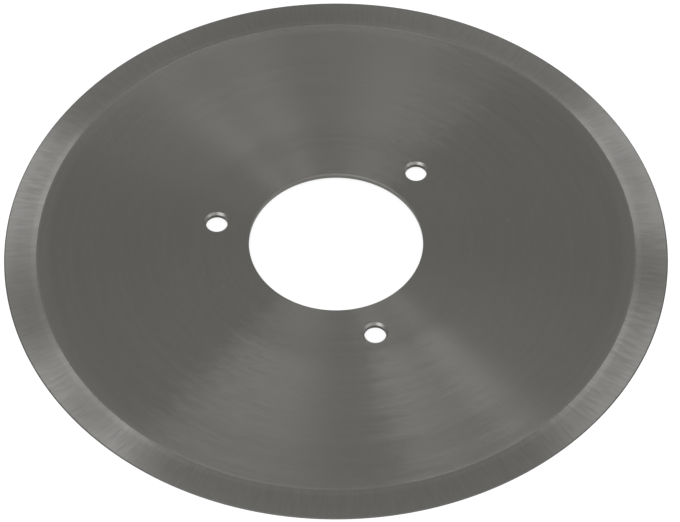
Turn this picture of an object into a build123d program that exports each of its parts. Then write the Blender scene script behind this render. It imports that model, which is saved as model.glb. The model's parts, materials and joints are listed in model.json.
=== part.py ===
from build123d import *

import math
import os

# Circular blade of a food slicer, ground from one disc of hardened steel.
# The Z axis is the axis of the bore, and Z = 0 is the flat face that seats on the slicer's hub flange.
# The bevelled side faces +Z and the hollow side, which meets the food, faces -Z. Sizes are in millimetres.

# Whole blade
outer_diameter = 330.0

# Hub: the flat ring round the bore, clamped to the slicer's flange by three screws
bore_diameter = 86.6
bore_edge_break = 0.6
hub_thickness = 3.2
screw_hole_count = 3
screw_circle_diameter = 121.5
screw_hole_diameter = 10.7
screw_hole_chamfer = 1.1
screw_hole_back_break = 0.3
first_screw_hole_angle = -90.0
hub_margin_past_holes = 6.0
seat_margin_past_holes = 9.0

# Bevelled side: taper-ground face, relief band, wide bevel and honed edge, from the hub outwards
hub_blend_length = 3.0
face_drop = 2.95
relief_width = 6.0
relief_drop = 0.35
bevel_width = 16.0
bevel_drop = 0.8
hone_width = 0.5
hone_drop = 0.35
edge_thickness = 0.1

# Hollow side: a narrow flat land behind the edge, and a shallow hollow from the land to the seat
back_land_width = 1.0
hollow_depth = 0.25


def ground_section():
    """Half section of the blade in the XZ plane, from the bore wall out to the cutting edge."""
    bore_radius = bore_diameter / 2
    hole_reach = (screw_circle_diameter + screw_hole_diameter) / 2
    hub_radius = hole_reach + hub_margin_past_holes
    seat_radius = hole_reach + seat_margin_past_holes
    edge_radius = outer_diameter / 2
    hone_radius = edge_radius - hone_width
    bevel_radius = edge_radius - bevel_width
    relief_radius = bevel_radius - relief_width
    land_radius = edge_radius - back_land_width

    relief_z = hub_thickness - face_drop
    bevel_z = relief_z - relief_drop
    hone_z = bevel_z - bevel_drop
    edge_z = hone_z - hone_drop
    land_z = edge_z - edge_thickness

    face_angle = math.atan2(face_drop, relief_radius - hub_radius)
    hollow_middle_x = (seat_radius + land_radius) / 2
    hollow_middle_z = land_z / 2 + hollow_depth

    with BuildSketch(Plane.XZ) as section:
        with BuildLine():
            hub_face = Line((bore_radius + bore_edge_break, hub_thickness), (hub_radius, hub_thickness))
            taper = Line(hub_face @ 1, (relief_radius, relief_z))
            Polyline(
                taper @ 1,
                (bevel_radius, bevel_z),
                (hone_radius, hone_z),
                (edge_radius, edge_z),
                (edge_radius, land_z),
                (land_radius, land_z),
            )
            ThreePointArc((land_radius, land_z), (hollow_middle_x, hollow_middle_z), (seat_radius, 0))
            Polyline(
                (seat_radius, 0),
                (bore_radius + bore_edge_break, 0),
                (bore_radius, bore_edge_break),
                (bore_radius, hub_thickness - bore_edge_break),
                hub_face @ 0,
            )
        make_face()
        hub_corner = section.vertices().sort_by_distance(Vector(hub_radius, 0, hub_thickness))[0]
        fillet(hub_corner, radius=hub_blend_length / math.tan(face_angle / 2) / 2)
    return section.sketch


def slicer_blade():
    """The whole blade: the ground section turned about the bore's axis, then drilled and chamfered."""
    hole_radius = screw_hole_diameter / 2
    with BuildPart() as blade:
        add(ground_section())
        revolve(axis=Axis.Z)
        hole_places = PolarLocations(screw_circle_diameter / 2, screw_hole_count, first_screw_hole_angle)
        with Locations(Plane.XY.offset(hub_thickness)):
            with hole_places:
                Hole(hole_radius, depth=hub_thickness)
        rims = blade.edges().filter_by(lambda rim: rim.geom_type == GeomType.CIRCLE and rim.radius == hole_radius)
        chamfer(rims.group_by(Axis.Z)[-1], screw_hole_chamfer)
        chamfer(rims.group_by(Axis.Z)[0], screw_hole_back_break)
    return blade.part


os.makedirs("parts", exist_ok=True)
export_step(slicer_blade(), "parts/blade.step")
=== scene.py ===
import json
import math

import bpy
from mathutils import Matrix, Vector


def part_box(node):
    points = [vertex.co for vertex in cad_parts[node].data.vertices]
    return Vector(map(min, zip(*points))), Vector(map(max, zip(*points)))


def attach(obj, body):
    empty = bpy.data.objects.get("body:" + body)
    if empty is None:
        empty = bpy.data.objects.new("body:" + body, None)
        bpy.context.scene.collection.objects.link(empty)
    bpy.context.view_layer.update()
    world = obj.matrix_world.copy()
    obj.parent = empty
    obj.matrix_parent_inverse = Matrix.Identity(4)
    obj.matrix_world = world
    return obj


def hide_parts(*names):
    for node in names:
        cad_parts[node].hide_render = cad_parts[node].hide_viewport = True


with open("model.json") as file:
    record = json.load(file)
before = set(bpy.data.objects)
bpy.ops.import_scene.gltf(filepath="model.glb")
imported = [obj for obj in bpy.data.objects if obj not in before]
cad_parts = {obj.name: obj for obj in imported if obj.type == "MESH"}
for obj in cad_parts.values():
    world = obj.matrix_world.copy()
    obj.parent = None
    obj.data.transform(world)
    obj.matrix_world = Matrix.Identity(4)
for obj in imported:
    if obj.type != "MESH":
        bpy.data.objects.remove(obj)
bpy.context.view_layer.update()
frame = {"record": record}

# The blade's shape
# One disc of hardened steel, turned and drilled, then ground all over. From the bore outwards its upper side
# is a flat hub, a long taper, a narrow relief band, the wide bevel and the honed edge. Its back is hollow.

MM = 0.001
mounts = {mount["name"]: mount for mount in frame["record"]["mounts"]}
blade_low, blade_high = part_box("blade")

bore_radius = mounts["bore"]["dims"]["r_mm"] * MM
bore_edge_break = 0.6 * MM
screw_holes = mounts["screw_holes"]["dims"]
screw_hole_radius = screw_holes["hole_r_mm"] * MM
screw_circle_radius = screw_holes["pcd_mm"] / 2 * MM
first_screw_hole_turn = -90
screw_hole_chamfer = 1.1 * MM
screw_hole_back_break = 0.3 * MM
hub_margin_past_holes = 6.0 * MM
seat_margin_past_holes = 9.0 * MM
hub_blend_length = 3.0 * MM
face_drop = 2.95 * MM
relief_width = 6.0 * MM
relief_drop = 0.35 * MM
bevel_width = 16.0 * MM
bevel_drop = 0.8 * MM
hone_width = 0.5 * MM
hone_drop = 0.35 * MM
back_land_width = 1.0 * MM
hollow_depth = 0.25 * MM

hub_radius = screw_circle_radius + screw_hole_radius + hub_margin_past_holes
seat_radius = screw_circle_radius + screw_hole_radius + seat_margin_past_holes
edge_radius = blade_high.x
bevel_radius = edge_radius - bevel_width
relief_radius = bevel_radius - relief_width
hone_radius = edge_radius - hone_width
land_radius = edge_radius - back_land_width

top_z = blade_high.z
relief_z = top_z - face_drop
bevel_z = relief_z - relief_drop
hone_z = bevel_z - bevel_drop
edge_z = hone_z - hone_drop
land_z = blade_low.z

# The mesh is laid out in spokes and rings, with a window of its own round each screw hole
SPOKES = 360
HALF_WINDOW = 12
HUB_RINGS = 12
HOLE_LOOPS = 5
HOLE_LOOP_CROWDING = 1.4

vertices = []
faces = []
surface_of_face = []


def ring(radius, z, centre=(0, 0), count=SPOKES, start=0.0, left_out=()):
    """Adds a ring of vertices about a centre, counter-clockwise from above, and gives their numbers."""
    numbers = []
    for place in range(count):
        if place in left_out:
            numbers.append(None)
            continue
        angle = start + 2 * math.pi * place / count
        vertices.append((centre[0] + radius * math.cos(angle), centre[1] + radius * math.sin(angle), z))
        numbers.append(len(vertices) - 1)
    return numbers


def band(first, second, surface):
    """Adds the faces between two rings. They face up where the second ring is the larger one."""
    count = len(first)
    for place in range(count):
        after = (place + 1) % count
        corners = (first[place], second[place], second[after], first[after])
        if None not in corners:
            faces.append(corners)
            surface_of_face.append(surface)


def bands(rings, surface):
    """Adds the faces between each ring and the next."""
    for first, second in zip(rings, rings[1:]):
        band(first, second, surface)


def straight(start, end, steps):
    """Rings along a straight stretch of the section, its start left out."""
    shares = [step / steps for step in range(1, steps + 1)]
    return [ring(*(a + (b - a) * share for a, b in zip(start, end))) for share in shares]


def bowed(start, end, bow, steps):
    """Rings along a shallow arc of the section that rises by bow in its middle, its start left out."""
    shares = [step / steps for step in range(1, steps + 1)]
    return [
        ring(start[0] + (end[0] - start[0]) * share,
             start[1] + (end[1] - start[1]) * share + 4 * bow * share * (1 - share))
        for share in shares
    ]


hole_turns = [
    first_screw_hole_turn % 360 + 360 / screw_holes["count"] * number
    for number in range(screw_holes["count"])
]
hole_spokes = [round(turn * SPOKES / 360) % SPOKES for turn in hole_turns]
hole_centres = [
    (screw_circle_radius * math.cos(math.radians(turn)), screw_circle_radius * math.sin(math.radians(turn)))
    for turn in hole_turns
]
inside_windows = {
    (spoke + offset) % SPOKES
    for spoke in hole_spokes
    for offset in range(1 - HALF_WINDOW, HALF_WINDOW)
}


def drilled_rings(outer_radius, z):
    """Rings of a flat hub face from the bore's rim outwards, with a window left open round each hole."""
    start = bore_radius + bore_edge_break
    radii = [start + (outer_radius - start) * step / HUB_RINGS for step in range(HUB_RINGS + 1)]
    return [
        ring(radius, z, left_out=() if radius in (radii[0], radii[-1]) else inside_windows)
        for radius in radii
    ]


def window_rim(rings, spoke):
    """The vertices round one window, counter-clockwise from above, from its outer clockwise corner."""
    low = spoke - HALF_WINDOW
    high = spoke + HALF_WINDOW
    outer = [rings[-1][place % SPOKES] for place in range(low, high)]
    inward = [rings[row][high % SPOKES] for row in range(HUB_RINGS, 0, -1)]
    inner = [rings[0][place % SPOKES] for place in range(high, low, -1)]
    outward = [rings[row][low % SPOKES] for row in range(HUB_RINGS)]
    return outer + inward + inner + outward


def loop_start(turn, count):
    """The angle of a loop's first vertex, which stands opposite the first vertex of its window's rim."""
    return math.radians(turn) - 2 * math.pi * HALF_WINDOW / count


def hole_loops(rim, centre, turn, radius, z):
    """Loops that lead from a window's rim in to the round edge of its screw hole, smallest loop first."""
    loops = [ring(radius, z, centre, len(rim), loop_start(turn, len(rim)))]
    for step in range(1, HOLE_LOOPS):
        share = (step / HOLE_LOOPS) ** HOLE_LOOP_CROWDING
        loop = []
        for near, far in zip(loops[0], rim):
            x, y = (
                vertices[near][axis] + (vertices[far][axis] - vertices[near][axis]) * share
                for axis in (0, 1)
            )
            vertices.append((x, y, z))
            loop.append(len(vertices) - 1)
        loops.append(loop)
    return loops + [rim]


# Upper side, from the bore's rim out to the edge
blend_start = hub_radius - hub_blend_length / 2
blend_drop = hub_blend_length / 2 * face_drop / (relief_radius - hub_radius)
blend_end = (hub_radius + hub_blend_length / 2, top_z - blend_drop)
hub_face = drilled_rings(blend_start, top_z)
bands(hub_face, "hub")
blend = bowed((blend_start, top_z), blend_end, bow=blend_drop / 4, steps=4)
taper = straight(blend_end, (relief_radius, relief_z), steps=12)
bands([hub_face[-1], *blend, *taper], "face")
relief = straight((relief_radius, relief_z), (bevel_radius, bevel_z), steps=3)
bands([taper[-1], *relief], "relief")
bevel = straight((bevel_radius, bevel_z), (hone_radius, hone_z), steps=8)
bands([relief[-1], *bevel], "bevel")
edge = ring(edge_radius, edge_z)
band(bevel[-1], edge, "hone")
land = [ring(edge_radius, land_z), ring(land_radius, land_z)]
band(edge, land[0], "edge")
bands(land, "land")

# Back, from the edge in to the bore, and the wall of the bore
hollow = bowed((land_radius, land_z), (seat_radius, 0), bow=hollow_depth, steps=16)[:-1]
seat = drilled_rings(seat_radius, 0)
bands([land[1], *hollow, seat[-1]], "hollow")
bands(seat[::-1], "seat")
bore_wall = [ring(bore_radius, bore_edge_break), ring(bore_radius, top_z - bore_edge_break)]
band(seat[0], bore_wall[0], "bore back break")
bands(bore_wall, "bore")
band(bore_wall[1], hub_face[0], "bore break")

# Screw holes, each with a chamfer above and a small break below
chamfer_radius = screw_hole_radius + screw_hole_chamfer
back_break_radius = screw_hole_radius + screw_hole_back_break
for spoke, turn, centre in zip(hole_spokes, hole_turns, hole_centres):
    upper = hole_loops(window_rim(hub_face, spoke), centre, turn, chamfer_radius, top_z)
    lower = hole_loops(window_rim(seat, spoke), centre, turn, back_break_radius, 0)
    bands(upper, "hub")
    bands(lower[::-1], "seat")
    count = len(upper[0])
    start = loop_start(turn, count)
    wall = [
        ring(screw_hole_radius, screw_hole_back_break, centre, count, start),
        ring(screw_hole_radius, top_z - screw_hole_chamfer, centre, count, start),
    ]
    band(lower[0], wall[0], f"hole {turn:.0f} back break")
    bands(wall, f"hole {turn:.0f}")
    band(wall[1], upper[0], f"hole {turn:.0f} chamfer")

blade_mesh = bpy.data.meshes.new("blade_ground")
blade_mesh.from_pydata(vertices, [], faces)

# A crease wherever two surfaces meet, and smooth shading between creases
blade_mesh.shade_smooth()
surfaces_at_edge = {}
for polygon, surface in zip(blade_mesh.polygons, surface_of_face):
    for key in polygon.edge_keys:
        surfaces_at_edge.setdefault(key, set()).add(surface)
for mesh_edge in blade_mesh.edges:
    mesh_edge.use_edge_sharp = len(surfaces_at_edge[tuple(sorted(mesh_edge.vertices))]) > 1

blade = bpy.data.objects.new("blade_ground", blade_mesh)
bpy.context.collection.objects.link(blade)

# The blade's finish
# Bare steel with no coating. The hub, the face and the back are ground in circles about the bore, and the
# bevel across, towards the edge, so each spreads a highlight across its own marks. The bore is turned, the
# holes are drilled and the edge is honed.

across_marks = blade_mesh.attributes.new("across_marks", "FLOAT_VECTOR", "CORNER")
for polygon, surface in zip(blade_mesh.polygons, surface_of_face):
    centre = (0.0, 0.0)
    if surface.startswith("hole"):
        centre = min(hole_centres, key=lambda hole: math.dist(hole, tuple(polygon.center.xy)))
    for loop in polygon.loop_indices:
        place = blade_mesh.vertices[blade_mesh.loops[loop].vertex_index].co
        outward = Vector((place.x - centre[0], place.y - centre[1], 0)).normalized()
        around = Vector((-outward.y, outward.x, 0))
        across_marks.data[loop].vector = around if surface == "bevel" else outward


def calculated(tree, operation, *values, kind="ShaderNodeMath"):
    """The result of a Math or Vector Math node. Each value is a number, a vector or another node's result."""
    node = tree.nodes.new(kind)
    node.operation = operation
    for socket, value in zip(node.inputs, values):
        if isinstance(value, bpy.types.NodeSocket):
            tree.links.new(value, socket)
        else:
            socket.default_value = value
    gives_number = kind == "ShaderNodeMath" or operation in ("LENGTH", "DISTANCE", "DOT_PRODUCT")
    return node.outputs["Value" if gives_number else "Vector"]


def place_on_blade(tree):
    """A point's place, its place seen from straight above, and its distance from the bore's axis."""
    place = tree.nodes.new("ShaderNodeTexCoord").outputs["Object"]
    level_place = calculated(tree, "MULTIPLY", place, (1, 1, 0), kind="ShaderNodeVectorMath")
    radius = calculated(tree, "LENGTH", level_place, kind="ShaderNodeVectorMath")
    return place, level_place, radius


def grinding_marks(tree, degrees_around, outward):
    """Noise drawn out into marks of about so many degrees around the bore and so many metres outward."""
    place, level_place, radius = place_on_blade(tree)
    direction = calculated(tree, "NORMALIZE", level_place, kind="ShaderNodeVectorMath")
    height = calculated(tree, "DOT_PRODUCT", place, (0, 0, 1), kind="ShaderNodeVectorMath")
    along_section = calculated(tree, "ADD", radius, height)
    marks_a_turn = 1 / math.radians(degrees_around)
    turned = calculated(tree, "MULTIPLY", direction, (marks_a_turn,) * 3, kind="ShaderNodeVectorMath")
    stepped = calculated(tree, "MULTIPLY", along_section, (0, 0, 1 / outward), kind="ShaderNodeVectorMath")
    noise = tree.nodes.new("ShaderNodeTexNoise")
    noise.inputs["Scale"].default_value = 1
    noise.inputs["Detail"].default_value = 2
    place_in_noise = calculated(tree, "ADD", turned, stepped, kind="ShaderNodeVectorMath")
    tree.links.new(place_in_noise, noise.inputs["Vector"])
    return noise.outputs["Fac"]


def uneven(tree, noise, amount):
    """A share close to 1, which noise from 0 to 1 moves by up to half the amount each way."""
    return calculated(tree, "MULTIPLY_ADD", noise, amount, 1 - amount / 2)


def shares_by_radius(tree, steps):
    """Shares of the colour and of the roughness, given at distances from the bore's axis in millimetres."""
    radius = place_on_blade(tree)[2]
    first, last = steps[0][0], steps[-1][0]
    ramp = tree.nodes.new("ShaderNodeValToRGB")
    stops = ramp.color_ramp.elements
    for number, (millimetres, colour_share, roughness_share) in enumerate(steps):
        position = (millimetres - first) / (last - first)
        if number == 0:
            stop = stops[0]
        elif number == len(steps) - 1:
            stop = stops[-1]
        else:
            stop = stops.new(position)
        stop.position = position
        stop.color = (colour_share, roughness_share, 0, 1)
    position = calculated(tree, "MULTIPLY_ADD", radius, 1 / ((last - first) * MM), -first / (last - first))
    tree.links.new(position, ramp.inputs["Fac"])
    split = tree.nodes.new("ShaderNodeSeparateColor")
    tree.links.new(ramp.outputs["Color"], split.inputs["Color"])
    return split.outputs["Red"], split.outputs["Green"]


def lightened(tree, share, specks):
    """The share of the colour, raised at small specks. Each speck is a place in millimetres and degrees."""
    level_place = place_on_blade(tree)[1]
    for radius, turn in specks:
        speck = (radius * MM * math.cos(math.radians(turn)), radius * MM * math.sin(math.radians(turn)), 0)
        distance = calculated(tree, "DISTANCE", level_place, speck, kind="ShaderNodeVectorMath")
        closeness = calculated(tree, "MULTIPLY_ADD", distance, -SPECK_LIFT / SPECK_REACH, 1 + SPECK_LIFT)
        share = calculated(tree, "MULTIPLY", share, calculated(tree, "MAXIMUM", closeness, 1))
    return share


def steel(name, colour, roughness, marks, anisotropy=0.0, depth=0.001 * MM, colour_change=0.1,
          roughness_change=0.1, stray=0.0, by_radius=(), specks=()):
    """Bare steel whose grinding or cutting marks change its colour and roughness a little.

    The marks are pairs of sizes for grinding_marks. They may stray from their course, by so many degrees from
    one side to the other.
    """
    material = bpy.data.materials.new(name)
    material.use_nodes = True
    tree = material.node_tree
    shader = tree.nodes["Principled BSDF"]
    shader.inputs["Metallic"].default_value = 1
    shader.inputs["Anisotropic"].default_value = anisotropy
    direction = tree.nodes.new("ShaderNodeAttribute")
    direction.attribute_name = "across_marks"
    tree.links.new(direction.outputs["Vector"], shader.inputs["Tangent"])

    noises = [grinding_marks(tree, *size) for size in marks]
    noise = noises[0]
    for other in noises[1:]:
        noise = calculated(tree, "ADD", noise, other)
    noise = calculated(tree, "DIVIDE", noise, len(marks))
    colour_share = uneven(tree, noise, colour_change)
    roughness_share = uneven(tree, noise, roughness_change)
    colour_share = lightened(tree, colour_share, specks)
    if by_radius:
        colour_step, roughness_step = shares_by_radius(tree, by_radius)
        colour_share = calculated(tree, "MULTIPLY", colour_share, colour_step)
        roughness_share = calculated(tree, "MULTIPLY", roughness_share, roughness_step)
    tinted = calculated(tree, "MULTIPLY", colour, colour_share, kind="ShaderNodeVectorMath")
    tree.links.new(tinted, shader.inputs["Base Color"])
    tree.links.new(calculated(tree, "MULTIPLY", roughness, roughness_share), shader.inputs["Roughness"])
    if stray:
        full_turns = stray / 360
        turned = calculated(tree, "MULTIPLY_ADD", noise, full_turns, -full_turns / 2)
        tree.links.new(turned, shader.inputs["Anisotropic Rotation"])
    bump = tree.nodes.new("ShaderNodeBump")
    bump.inputs["Distance"].default_value = depth
    tree.links.new(noise, bump.inputs["Height"])
    tree.links.new(bump.outputs["Normal"], shader.inputs["Normal"])
    return material


FACE_STEEL = (0.1913, 0.1879, 0.172)
BEVEL_STEEL = (0.22, 0.2164, 0.2011)
CHAMFER_STEEL = (0.21, 0.2065, 0.189)
# The screw holes' walls are painted far darker than the steel: painted shade, for the shade inside the holes.
HOLE_STEEL_PAINTED_SHADE = (0.075, 0.0735, 0.0675)
BORE_STEEL = (0.145, 0.1425, 0.1305)
RIM_STEEL = (0.138, 0.1355, 0.124)
# The edge's facets are painted dark, a painted shade that keeps the rim a dark outline without a glint.
EDGE_STEEL_PAINTED_DARK = (0.1, 0.0985, 0.09)
face_marks = ((40, 2.5 * MM), (4, 1.4 * MM))
bevel_marks = ((0.6, 9 * MM),)
cut_marks = ((20, 0.2 * MM),)

# The wheel's passes overlap in rings, and the relief band by the bevel is ground finer. The relief band's
# colour is raised as painted light, for the light its own slope catches, with a thin painted highlight along
# its border with the bevel. Each step gives a distance from the bore's axis in millimetres, a share of the
# colour and a share of the roughness.
# The shares come from grey levels measured in the photograph, from the bore outwards.
face_rings_and_painted_light = (
    (43, 1.06, 0.922), (56, 1.06, 0.918), (62, 1.06, 0.88), (70, 1.05, 0.867), (74, 1.04, 0.95),
    (80, 1.04, 1.013), (90, 1.04, 1.0), (120, 1.03, 0.974), (128, 1.03, 0.907), (136, 1.03, 0.907),
    (142, 1.03, 0.948), (143.6, 1.08, 0.82), (145, 1.11, 0.807), (147.7, 1.1, 0.807), (148.3, 1.25, 0.807),
    (149, 1.25, 0.807),
)
# The bevel is lighter along both its borders than in its middle
bevel_rings = (
    (149, 1.07, 1.06), (150.8, 1.1, 1.06), (152.6, 1.0, 1.0), (158, 1.0, 1.0), (162.5, 1.06, 1.06),
    (165, 1.07, 1.06),
)

# Bright specks on the face, in millimetres from the bore's axis and degrees round it
SPECK_REACH = 0.9 * MM
SPECK_LIFT = 0.2
face_specks = ((110.6, 15.2), (87.1, 350.2), (86.4, 351.3), (62.2, 188.7), (128.8, 315.6))

finishes = {
    "face": steel(
        "face_ground_in_circles", FACE_STEEL, roughness=0.2515, marks=face_marks, anisotropy=1.0,
        depth=0.15 * MM, colour_change=0.2, roughness_change=0.15, stray=15.0, by_radius=face_rings_and_painted_light,
        specks=face_specks),
    "bevel": steel(
        "bevel_ground_across", BEVEL_STEEL, roughness=0.3327, marks=bevel_marks, anisotropy=1.0,
        depth=0.1 * MM, colour_change=0.26, roughness_change=0.32, by_radius=bevel_rings),
    "back": steel(
        "back_ground_in_circles", FACE_STEEL, roughness=0.24, marks=face_marks, anisotropy=1.0,
        colour_change=0.06),
    "chamfer": steel(
        "turned_chamfer_steel", CHAMFER_STEEL, roughness=0.42, marks=cut_marks, anisotropy=0.6,
        colour_change=0.06),
    # The holes' walls carry painted shade in their dark colour.
    "hole": steel("drilled_hole_painted_shade_steel", HOLE_STEEL_PAINTED_SHADE, roughness=0.31, marks=cut_marks, anisotropy=1.0),
    "bore": steel("turned_bore_steel", BORE_STEEL, roughness=0.45, marks=cut_marks),
    "bore break": steel("broken_rim_steel", RIM_STEEL, roughness=0.6, marks=cut_marks),
    # The edge's dark colour is painted shade.
    "edge": steel("honed_edge_painted_dark_steel", EDGE_STEEL_PAINTED_DARK, roughness=0.65, marks=bevel_marks),
}
for material in finishes.values():
    blade_mesh.materials.append(material)
finish_order = list(finishes)
finish_of_surface = {
    "hub": "face", "face": "face", "relief": "face", "bevel": "bevel",
    "hone": "edge", "edge": "edge", "land": "edge", "hollow": "back", "seat": "back",
    "bore": "bore", "bore break": "bore break", "bore back break": "bore break",
}
for polygon, surface in zip(blade_mesh.polygons, surface_of_face):
    hole_finish = "chamfer" if surface.endswith("chamfer") else "hole"
    polygon.material_index = finish_order.index(finish_of_surface.get(surface, hole_finish))

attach(blade, "root")
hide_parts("blade")

# The floor
# A plain pale sheet under the blade, which rests on it by the land behind its edge. The sheet shows white
# and keeps the blade's shadow.

FLOOR_REACH = 6.0
FLOOR_WHITE = (0.9, 0.9, 0.9, 1)
FLOOR_ROUGHNESS = 0.9
GLOW_SHARE = 0.8

floor_corners = [(FLOOR_REACH * x, FLOOR_REACH * y, land_z) for x, y in ((-1, -1), (1, -1), (1, 1), (-1, 1))]
floor_mesh = bpy.data.meshes.new("floor")
floor_mesh.from_pydata(floor_corners, [], [(0, 1, 2, 3)])
floor = bpy.data.objects.new("floor", floor_mesh)
bpy.context.collection.objects.link(floor)

floor_material = bpy.data.materials.new("pale_floor")
floor_material.use_nodes = True
floor_tree = floor_material.node_tree
sheet = floor_tree.nodes["Principled BSDF"]
sheet.inputs["Base Color"].default_value = FLOOR_WHITE
sheet.inputs["Roughness"].default_value = FLOOR_ROUGHNESS
glow = floor_tree.nodes.new("ShaderNodeEmission")
ray = floor_tree.nodes.new("ShaderNodeLightPath")
seen = calculated(floor_tree, "MAXIMUM", ray.outputs["Is Camera Ray"], ray.outputs["Is Glossy Ray"])
seen = calculated(floor_tree, "MAXIMUM", seen, ray.outputs["Is Transmission Ray"])
mix = floor_tree.nodes.new("ShaderNodeMixShader")
floor_tree.links.new(calculated(floor_tree, "MULTIPLY", seen, GLOW_SHARE), mix.inputs[0])
floor_tree.links.new(sheet.outputs["BSDF"], mix.inputs[1])
floor_tree.links.new(glow.outputs["Emission"], mix.inputs[2])
floor_tree.links.new(mix.outputs["Shader"], floor_tree.nodes["Material Output"].inputs["Surface"])
floor_mesh.materials.append(floor_material)

# The studio
# A white room of even light, with soft panels hung level above the blade. Three bright ones hang on the near
# side, to the left and to the right. A wide faint one lies across the right, and two faint ones lie beyond.

camera_turn = math.radians(-18.4)


def in_view(right, away, up):
    """A place given to the right of, away from and above the bore's centre, as the camera sees it."""
    return Vector((
        right * math.cos(camera_turn) - away * math.sin(camera_turn),
        right * math.sin(camera_turn) + away * math.cos(camera_turn),
        up,
    ))


ROOM_LIGHT = 0.55
world = bpy.data.worlds.new("white_room")
bpy.context.scene.world = world
world.use_nodes = True
world.node_tree.nodes["Background"].inputs["Color"].default_value = (1, 1, 1, 1)
world.node_tree.nodes["Background"].inputs["Strength"].default_value = ROOM_LIGHT

PANEL_HEIGHT = 10.0
PANEL_COLOUR = (1, 1, 1.06)


def soft_panel(name, right, away, width, depth, turn, brightness):
    """A level panel that shines down, its place and size in metres and its brightness in times the room's.

    Seen by the blade, a panel is as bright as its energy over four times its area.
    """
    light = bpy.data.lights.new(name, "AREA")
    light.shape = "RECTANGLE"
    light.size = width
    light.size_y = depth
    light.energy = 4 * width * depth * brightness * ROOM_LIGHT
    light.color = PANEL_COLOUR
    lamp = bpy.data.objects.new(name, light)
    bpy.context.collection.objects.link(lamp)
    lamp.location = in_view(right, away, PANEL_HEIGHT)
    lamp.rotation_euler = (0, 0, camera_turn + math.radians(turn))


# The panels' places, sizes, turns and brightness were fitted, by least squares, to the light on the blade in
# the photograph
soft_panel("left_panel", right=-5.98, away=-6.55, width=8.62, depth=8.94, turn=-34.3, brightness=10.09)
soft_panel("right_panel", right=7.93, away=-1.51, width=5.32, depth=1.68, turn=-7.1, brightness=24.1)
soft_panel("short_panel", right=4.19, away=-3.22, width=3.78, depth=1.76, turn=-9.1, brightness=22.5)
soft_panel("wide_panel", right=8.83, away=0.11, width=27.72, depth=7.98, turn=41.3, brightness=1.06)
soft_panel("far_panel", right=-2.83, away=15.6, width=9.12, depth=2.02, turn=-5.0, brightness=2.47)
soft_panel("far_left_panel", right=-6.78, away=3.38, width=16.8, depth=6.78, turn=-32.7, brightness=0.212)

# The camera
# It looks down on the bevelled side from the photograph's angle, with a long lens.

PHOTO_WIDTH = 680
SENSOR_WIDTH = 36
focal_length_in_pixels = 3621.3
camera_pitch = math.radians(51.1)
camera_distance = 1.7913
aim_right = 1.98 * MM
aim_away = -12.8 * MM

camera_data = bpy.data.cameras.new("camera")
camera_data.sensor_width = SENSOR_WIDTH
camera_data.lens = focal_length_in_pixels * SENSOR_WIDTH / PHOTO_WIDTH
camera = bpy.data.objects.new("camera", camera_data)
bpy.context.collection.objects.link(camera)
aim_point = in_view(aim_right, aim_away, top_z)
back = in_view(0, -math.cos(camera_pitch), math.sin(camera_pitch))
camera.location = aim_point + back * camera_distance
camera.rotation_mode = "QUATERNION"
camera.rotation_quaternion = (-back).to_track_quat("-Z", "Y")
bpy.context.scene.camera = camera

bpy.context.scene.view_settings.view_transform = "Standard"
